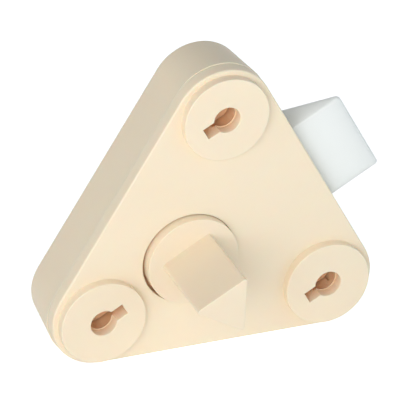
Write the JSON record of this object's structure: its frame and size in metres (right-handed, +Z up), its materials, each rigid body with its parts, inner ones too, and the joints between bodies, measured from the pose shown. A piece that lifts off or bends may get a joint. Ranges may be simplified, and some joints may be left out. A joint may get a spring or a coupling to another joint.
{
  "type": "triangle key latch",
  "caption": "Door latch with a bevelled spring bolt in a triangular moulded casing, worked by a triangle key on a proud drive and hung on studs by keyhole pads.",
  "frame": {"origin": "where the spindle's axis meets the flat back face of the body", "axes": "+Z up with the latch standing on its lower long side, -Y out of the face along the spindle, the bolt pointing up to the right at 30 degrees above +X"},
  "size_m": [0.0622, 0.0312, 0.0555],
  "materials": {
    "cream_plastic": "satin moulded",
    "white_nylon": "satin, slightly see-through",
    "spring_wire": "drawn wire",
    "zinc_screw": "zinc plated"
  },
  "bodies": {
    "casing": {"body_shell": "cream_plastic", "face_plate": "cream_plastic", "case_screw_top": "zinc_screw", "case_screw_left": "zinc_screw", "case_screw_right": "zinc_screw", "spring_upper": "spring_wire", "spring_lower": "spring_wire"},
    "spindle": {"spindle": "cream_plastic"},
    "bolt": {"bolt": "white_nylon"}
  },
  "joints": [
    {"name": "spindle_turn", "type": "hinge", "parent": "casing", "child": "spindle", "pos_m": [0, 0, 0], "axis": [0, -1, 0], "range_deg": [0, 70]},
    {"name": "bolt_slide", "type": "slide", "parent": "casing", "child": "bolt", "axis": [0.866, 0, 0.5], "range_m": [-0.00952, 0], "stiffness_N_per_m": 400, "springref_m": 0.008, "deforming": ["spring_upper", "spring_lower"]}
  ],
  "couplings": [
    {"joint": "spindle_turn", "follows": "bolt_slide", "rad_per_m": -128.31}
  ]
}
